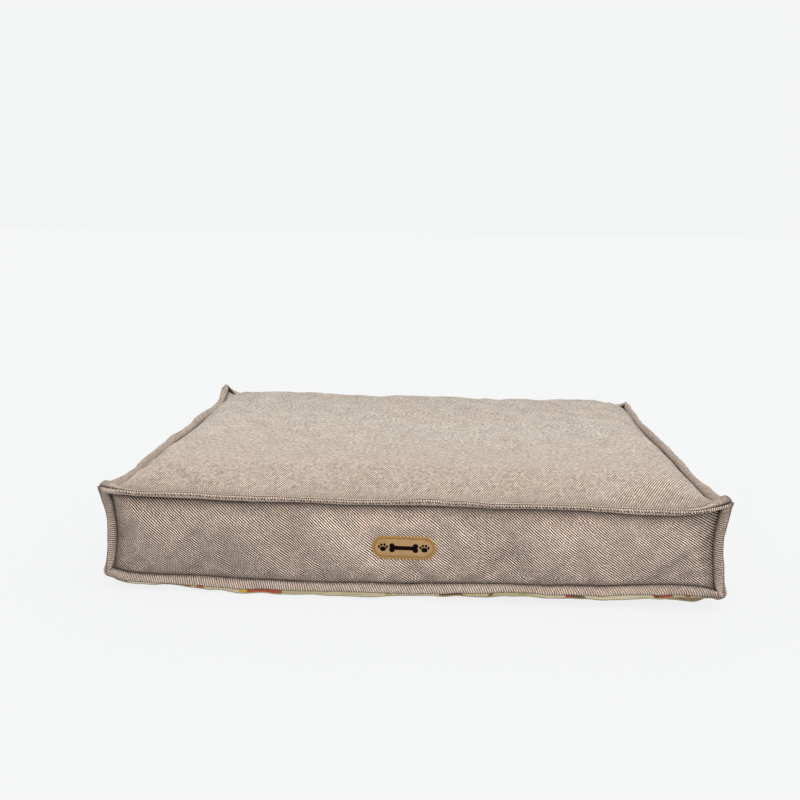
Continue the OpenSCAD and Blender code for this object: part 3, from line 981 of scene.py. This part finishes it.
FOOT = (0.07, 0.0016)               # where the topstitching lies on a layer of the flange
TIP = (0.995, 0.0)                  # where the hidden seam shows, in the groove at the tip
ROLLED_TIP = (0.84, 0.0026)         # and on the top flange, whose tip rolls back over it
SIDE_PIECES = ("front_band", "left_band", "right_band")
BACK_PIECES = ("back_band_upper", "back_band_lower", "zip_end_tab_left", "zip_end_tab_right")
EVERY_PIECE = ("top_panel", "bottom_panel", *SIDE_PIECES, *BACK_PIECES)
FINE_SEAM = dict(thread=soft_thread, stitch=0.0026, radius=0.00035)
BOLD_SEAM = dict(thread=seam_thread, stitch=0.0026, radius=0.00085, slant=0.75)
for node, name, pieces, test, spot, look in (
    ("topstitch_top", "topstitch_top_thread", EVERY_PIECE, near(top_z), FOOT, {}),
    ("topstitch_bottom", "topstitch_bottom_thread", EVERY_PIECE, near(low_z), FOOT, {}),
    ("topstitch_corners", "topstitch_corner_thread", EVERY_PIECE, upright, FOOT, {}),
    ("edge_seam_top", "edge_seam_top_thread", (*SIDE_PIECES, "back_band_upper"), near(top_z),
     ROLLED_TIP, BOLD_SEAM),
    ("edge_seam_bottom", "edge_seam_bottom_thread", ("bottom_panel",), near(low_z), TIP, FINE_SEAM),
    ("edge_seam_corners", "edge_seam_corners_thread", ("front_band", *BACK_PIECES), upright,
     TIP, FINE_SEAM),
):
    rows = [row for piece in pieces for row in flange_lines(cover[piece], *spot, test(cover[piece]))]
    stitches(name, node, rows, "sewing_thread", **{"thread": seam_thread, **look})


# ---- Label -------------------------------------------------------------------------------

def stadium_line(width, height, count=24):
    """A round-ended outline, anticlockwise, in x and z."""
    radius, straight = height / 2, (width - height) / 2
    line = []
    for side, start in ((1, -math.pi / 2), (-1, math.pi / 2)):
        for k in range(count + 1):
            turn = start + math.pi * k / count
            line.append((side * straight + radius * math.cos(turn), radius * math.sin(turn)))
    return np.array(line)


label_low, label_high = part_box("label_patch")
label_w, label_h = label_high.x - label_low.x, label_high.z - label_low.z
label_x, label_z = (label_low.x + label_high.x) / 2, (label_low.z + label_high.z) / 2
label_t = label_high.y - label_low.y


def make_label():
    """A round-ended patch with a soft rim, and its stitching in a shallow groove."""
    def at(inset):
        return stadium_line(label_w - 2 * inset, label_h - 2 * inset)

    groove = label_t - 0.0003
    levels = [(0.0004, 0.0), (0.0, 0.0004), (0.0, label_t - 0.0006), (0.00025, label_t - 0.0002),
              (0.0008, label_t), (0.0020, label_t), (0.0024, groove), (0.0031, groove),
              (0.0035, label_t), (0.0060, label_t + 0.0001), (0.0110, label_t + 0.00015)]
    points = [(label_x + x, front_face - depth, label_z + z) for inset, depth in levels
              for x, z in at(inset)]
    count = len(at(0))
    mesh = mesh_of(points, stack_faces(0, len(levels), count))
    patch = make_piece("label_patch_leather", "label_patch", mesh, tan_leather)
    set_weave(patch, [(0, 0, inset) for inset, _ in levels for _ in range(count)])
    line = [(x + label_x, front_face - groove - 0.00005, z + label_z) for x, z in at(0.00275)]
    line.append(line[0])
    stitches("label_stitch_thread", "label_stitching", [np.array(line)], "label_thread",
             label_thread_look, stitch=0.0021, gap=0.0009, radius=0.00040)


def bone_outline(length, spread_z, knob, waist, count=14):
    """A plain bone: a bar with two round knobs at each end."""
    start, stop = -math.asin(spread_z / knob), math.pi + math.asin((spread_z - waist) / knob)
    turns = [start + (stop - start) * k / count for k in range(count + 1)]
    corner = [(length / 2 + knob * math.cos(t), spread_z + knob * math.sin(t)) for t in turns]
    upper = corner + [(-x, z) for x, z in corner[::-1]]
    return np.array(upper + [(-x, -z) for x, z in upper])


def make_mark():
    """The generic printed mark: a bone between two paw prints, as thin raised ink."""
    ink_t, rim, pad_z, toe_reach = 0.00012, 0.00012, -0.0016, 0.0053
    front = front_face - label_t - 0.0001
    turns = [2 * math.pi * k / 24 for k in range(24)]
    circle = np.array([(math.cos(t), math.sin(t)) for t in turns])
    shapes = [(bone_outline(0.37 * label_w, 0.0024, 0.0032, 0.0025), 0.0, 0.0)]
    for side in (-1, 1):
        middle = side * 0.325 * label_w
        shapes.append((0.0033 * circle * [1.1, 0.88], middle, pad_z))
        for angle in map(math.radians, (-60, -20, 20, 60)):
            toe = 0.00155 * circle * [0.88, 1.15]
            shapes.append((toe, middle + toe_reach * math.sin(angle), pad_z + toe_reach * math.cos(angle)))
    points, faces = [], []
    for ring, x, z in shapes:
        faces += stack_faces(len(points), 3, len(ring))
        for depth, inset in ((0.0, 0.0), (ink_t, 0.0), (1.4 * ink_t, rim)):
            for px, pz in ring:
                shrink = max(0.0, 1 - inset / math.hypot(px, pz))
                points.append((label_x + x + px * shrink, front - depth, label_z + z + pz * shrink))
    make_piece("label_mark_ink", "label_mark", mesh_of(points, faces), ink, smooth=False)


make_label()
make_mark()


# ---- Zip ---------------------------------------------------------------------------------

def coil(name, node, side):
    """A row of teeth: a nylon coil whose heads reach for the other row."""
    low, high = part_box(node)
    pitch, wire, head = 0.00127, 0.00040, 0.00032
    rim, turn_points = 5, 10        # points round the wire, and along one turn of it
    near_z = mid_z + side * (head + wire)
    far_z = (high.z if side > 0 else low.z) - side * wire
    middle_z, half_z = (near_z + far_z) / 2, abs(far_z - near_z) / 2
    middle_y, half_y = (low.y + high.y) / 2, (high.y - low.y) / 2 - wire
    turns = int((high.x - low.x) / pitch)
    count = turns * turn_points
    t = np.arange(count + 1) / turn_points
    angle = 2 * math.pi * t
    path = np.stack([low.x + pitch * (t + 0.5 * (side > 0)),
                     middle_y + half_y * np.sin(angle), middle_z + half_z * np.cos(angle)], -1)
    way = np.gradient(path, axis=0)
    way /= np.linalg.norm(way, axis=1, keepdims=True)
    outward = np.stack([np.zeros(count + 1), np.sin(angle), np.cos(angle)], -1)
    outward -= way * np.sum(outward * way, 1, keepdims=True)
    outward /= np.linalg.norm(outward, axis=1, keepdims=True)
    third = np.cross(way, outward)
    turn = 2 * math.pi * np.arange(rim) / rim
    points = path[:, None] + wire * (np.cos(turn)[None, :, None] * outward[:, None]
                                     + np.sin(turn)[None, :, None] * third[:, None])
    number = np.arange((count + 1) * rim).reshape(count + 1, rim)
    a, b = number[:-1], np.roll(number[:-1], -1, 1)
    faces = np.stack([a, b, np.roll(number[1:], -1, 1), number[1:]], -1).reshape(-1, 4).tolist()
    faces += [number[0].tolist()[::-1], number[-1].tolist()]
    make_piece(name, node, mesh_of(points.reshape(-1, 3), faces), nylon)


def refined(node, name, material, bevel, segments=3, body=COVER):
    """A CAD node's own shape with its edges softened."""
    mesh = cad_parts[node].data.copy()
    work = bmesh.new()
    work.from_mesh(mesh)
    bmesh.ops.remove_doubles(work, verts=work.verts, dist=1e-6)
    bmesh.ops.dissolve_limit(work, angle_limit=math.radians(2), verts=work.verts, edges=work.edges)
    sharp = [e for e in work.edges if len(e.link_faces) == 2 and e.calc_face_angle() > math.radians(40)]
    bmesh.ops.bevel(work, geom=sharp, offset=bevel, segments=segments, profile=0.5, affect="EDGES",
                    clamp_overlap=True)
    bmesh.ops.recalc_face_normals(work, faces=work.faces)
    work.to_mesh(mesh)
    work.free()
    make_piece(name, node, mesh, material, body)


coil("zip_coil_upper", "zip_teeth_upper", 1)
coil("zip_coil_lower", "zip_teeth_lower", -1)
refined("zip_slider", "zip_slider_cast", brass, 0.00018, body="slider")
refined("zip_pull", "zip_pull_tab", brass, 0.00022, body="pull")
refined("zip_top_stops", "zip_top_stop_clips", brass, 0.00020)
refined("zip_bottom_stop", "zip_bottom_stop_clip", brass, 0.00025)
for node in ("zip_tape_upper", "zip_tape_lower"):
    refined(node, node + "_weave", zip_tape_look, 0.00012, segments=1)

zip_low, zip_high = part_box("zip_stitching")
rows = [np.array([(x, back_face + 0.0001, z) for x in np.linspace(zip_low.x, zip_high.x, 40)])
        for z in (zip_low.z + 0.0003, zip_high.z - 0.0003)]
stitches("zip_topstitch_thread", "zip_stitching", rows, "sewing_thread", seam_thread)


# ---- Pad ---------------------------------------------------------------------------------

LINER_OUTSIDE, LINER_INSIDE, FILLING = 0.0030, 0.0036, 0.0045     # depths inside the cover


def inside_form(depth):
    """The closed form of the settled cover, drawn in by depth, as a bmesh."""
    points = np.zeros((max(n.max() for n in form_numbers.values()) + 1, 3))
    for name, count in form_numbers.items():
        grid = settled(name, steps(reach(name, "u"), CELL), steps(reach(name, "v"), CELL))
        points[count.ravel()] = grid.reshape(-1, 3)
    work = bmesh.new()
    verts = [work.verts.new(p) for p in points]
    for quad in form_quads:
        work.faces.new([verts[k] for k in quad])
    work.normal_update()
    moves = [v.normal * depth for v in work.verts]
    for vert, move in zip(work.verts, moves):
        vert.co -= move
    return work


def keep_between(work, low, high):
    """Cuts the form to a layer between two levels and closes the cuts."""
    for level, way in ((low, -1), (high, 1)):
        if level is None:
            continue
        geom = work.verts[:] + work.edges[:] + work.faces[:]
        cut = bmesh.ops.bisect_plane(work, geom=geom, dist=1e-6, plane_co=(0, 0, level),
                                     plane_no=(0, 0, way), clear_outer=True)
        edges = [e for e in cut["geom_cut"] if isinstance(e, bmesh.types.BMEdge)]
        bmesh.ops.edgenet_fill(work, edges=edges)
    bmesh.ops.recalc_face_normals(work, faces=work.faces)
    return work


def pad_piece(name, work, node, material):
    mesh = bpy.data.meshes.new(name)
    work.to_mesh(mesh)
    work.free()
    return make_piece(name, node, mesh, material)


def make_liner():
    """The closed bag round the filling, as an outer and an inner shell."""
    lining = inside_form(LINER_INSIDE)
    bmesh.ops.reverse_faces(lining, faces=lining.faces)
    inner = bpy.data.meshes.new("liner_inside")
    lining.to_mesh(inner)
    lining.free()
    bag = inside_form(LINER_OUTSIDE)
    bag.from_mesh(inner)
    bpy.data.meshes.remove(inner)
    made = pad_piece("inner_liner_bag", bag, "inner_liner", liner_look)


def make_foam(foam_low, foam_high):
    """The foam slab, with its cut edges just eased."""
    low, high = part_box("foam_core")
    clear = 0.009                   # how far the slab stays inside the CAD's at the sides
    low_corner = Vector((low.x + clear, low.y + clear, foam_low))
    high_corner = Vector((high.x - clear, high.y - clear, foam_high))
    work = bmesh.new()
    bmesh.ops.create_cube(work, size=1)
    middle, size = (low_corner + high_corner) / 2, high_corner - low_corner
    for vert in work.verts:
        vert.co = Vector([middle[k] + vert.co[k] * size[k] for k in range(3)])
    bmesh.ops.bevel(work, geom=work.edges[:], offset=0.010, segments=4, profile=0.5, affect="EDGES")
    bmesh.ops.subdivide_edges(work, edges=[e for e in work.edges if e.calc_length() > 0.05], cuts=12,
                              use_grid_fill=True)
    bmesh.ops.triangulate(work, faces=[f for f in work.faces if len(f.verts) > 4])
    pad_piece("foam_core_slab", work, "foam_core", foam_look)


def make_pad():
    """The wadding above and below the foam, and the foam between them."""
    foam_low, foam_high = (corner.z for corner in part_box("foam_core"))
    for node, low, high in (("wadding_lower", None, foam_low), ("wadding_upper", foam_high, None)):
        layer = keep_between(inside_form(FILLING), low, high)
        pad_piece(node + "_layer", layer, node, wadding_look)
    make_foam(foam_low, foam_high)


make_pad()
make_liner()


# ---- Camera, floor and light -------------------------------------------------------------

CAMERA_AT = (0.0391, -1.1068, 0.4317)
CAMERA_YAW, CAMERA_PITCH, CAMERA_ROLL = (math.radians(a) for a in (3.39, 12.76, 0.61))
LENS, SENSOR = 35.35, 36.0


def make_camera():
    """A camera turned to the left by yaw, tipped down by pitch and rolled."""
    ahead = Vector((-math.sin(CAMERA_YAW) * math.cos(CAMERA_PITCH),
                    math.cos(CAMERA_YAW) * math.cos(CAMERA_PITCH), -math.sin(CAMERA_PITCH)))
    level = Vector((math.cos(CAMERA_YAW), math.sin(CAMERA_YAW), 0))
    upward = level.cross(ahead)
    right = math.cos(CAMERA_ROLL) * level + math.sin(CAMERA_ROLL) * upward
    up = math.cos(CAMERA_ROLL) * upward - math.sin(CAMERA_ROLL) * level
    data = bpy.data.cameras.new("camera")
    data.sensor_width = SENSOR
    data.lens = LENS
    camera = bpy.data.objects.new("camera", data)
    camera.matrix_world = Matrix.Translation(CAMERA_AT) @ Matrix((right, up, -ahead)).transposed().to_4x4()
    scene.collection.objects.link(camera)
    scene.camera = camera


def make_floor():
    """A plain pale floor that runs out of sight, bright enough to lose most of its shadow."""
    g = Graph("floor_white")
    tone = g.spread(g.noise(g.place(), 0.8, 2.0), 0.3, 0.7, 0.99, 1.0)
    grey = g.tint((0.055, 0.055, 0.055))
    g.finish(Base_Color=g.shade(grey, tone), Roughness=0.9, Specular_IOR_Level=0.0,
             Emission_Color=(0.985, 0.995, 0.995, 1), Emission_Strength=0.835)
    size, level = 30.0, -0.0003     # just under the bed, so that the two never share a plane
    mesh = bpy.data.meshes.new("floor")
    corners = [(x * size, y * size, level) for x, y in ((-1, -1), (1, -1), (1, 1), (-1, 1))]
    mesh.from_pydata(corners, [], [[0, 1, 2, 3]])
    floor = bpy.data.objects.new("floor", mesh)
    mesh.materials.append(g.material)
    floor.visible_diffuse = False
    scene.collection.objects.link(floor)


def make_light():
    """A white room, brighter overhead, with a broad soft light from above on the right and a
    weaker, softer one from the front."""
    world = bpy.data.worlds.new("studio")
    world.use_nodes = True
    scene.world = world
    tree = world.node_tree
    background = tree.nodes["Background"]
    background.inputs["Color"].default_value = (0.985, 0.995, 0.995, 1)
    height = tree.nodes.new("ShaderNodeSeparateXYZ")
    tree.links.new(tree.nodes.new("ShaderNodeTexCoord").outputs["Generated"], height.inputs[0])
    sky, ground = tree.nodes.new("ShaderNodeMapRange"), tree.nodes.new("ShaderNodeMapRange")
    sky.interpolation_type = "SMOOTHSTEP"
    lower = tree.nodes.new("ShaderNodeMath")
    lower.operation = "MINIMUM"
    for ramp, limits in ((sky, (0.30, 0.95, 0.915, 1.75)), (ground, (-0.02, 0.0, 0.50, 9.0))):
        for socket, value in zip(list(ramp.inputs)[1:5], limits):
            socket.default_value = value
        tree.links.new(height.outputs[2], ramp.inputs[0])
    tree.links.new(sky.outputs[0], lower.inputs[0])
    tree.links.new(ground.outputs[0], lower.inputs[1])
    tree.links.new(lower.outputs[0], background.inputs["Strength"])
    for name, energy, spread, towards in (("soft_key", 1.0, 35, (0.50, -0.12, 0.85)),
                                          ("soft_fill", 0.45, 60, (-0.10, -0.80, 0.55))):
        sun = bpy.data.lights.new(name, "SUN")
        sun.energy = energy
        sun.angle = math.radians(spread)
        sun.color = (1.0, 0.99, 0.97)
        lamp = bpy.data.objects.new(name, sun)
        lamp.rotation_euler = Vector(towards).to_track_quat("Z", "Y").to_euler()
        scene.collection.objects.link(lamp)


make_camera()
make_floor()
make_light()
scene.view_settings.view_transform = "Standard"
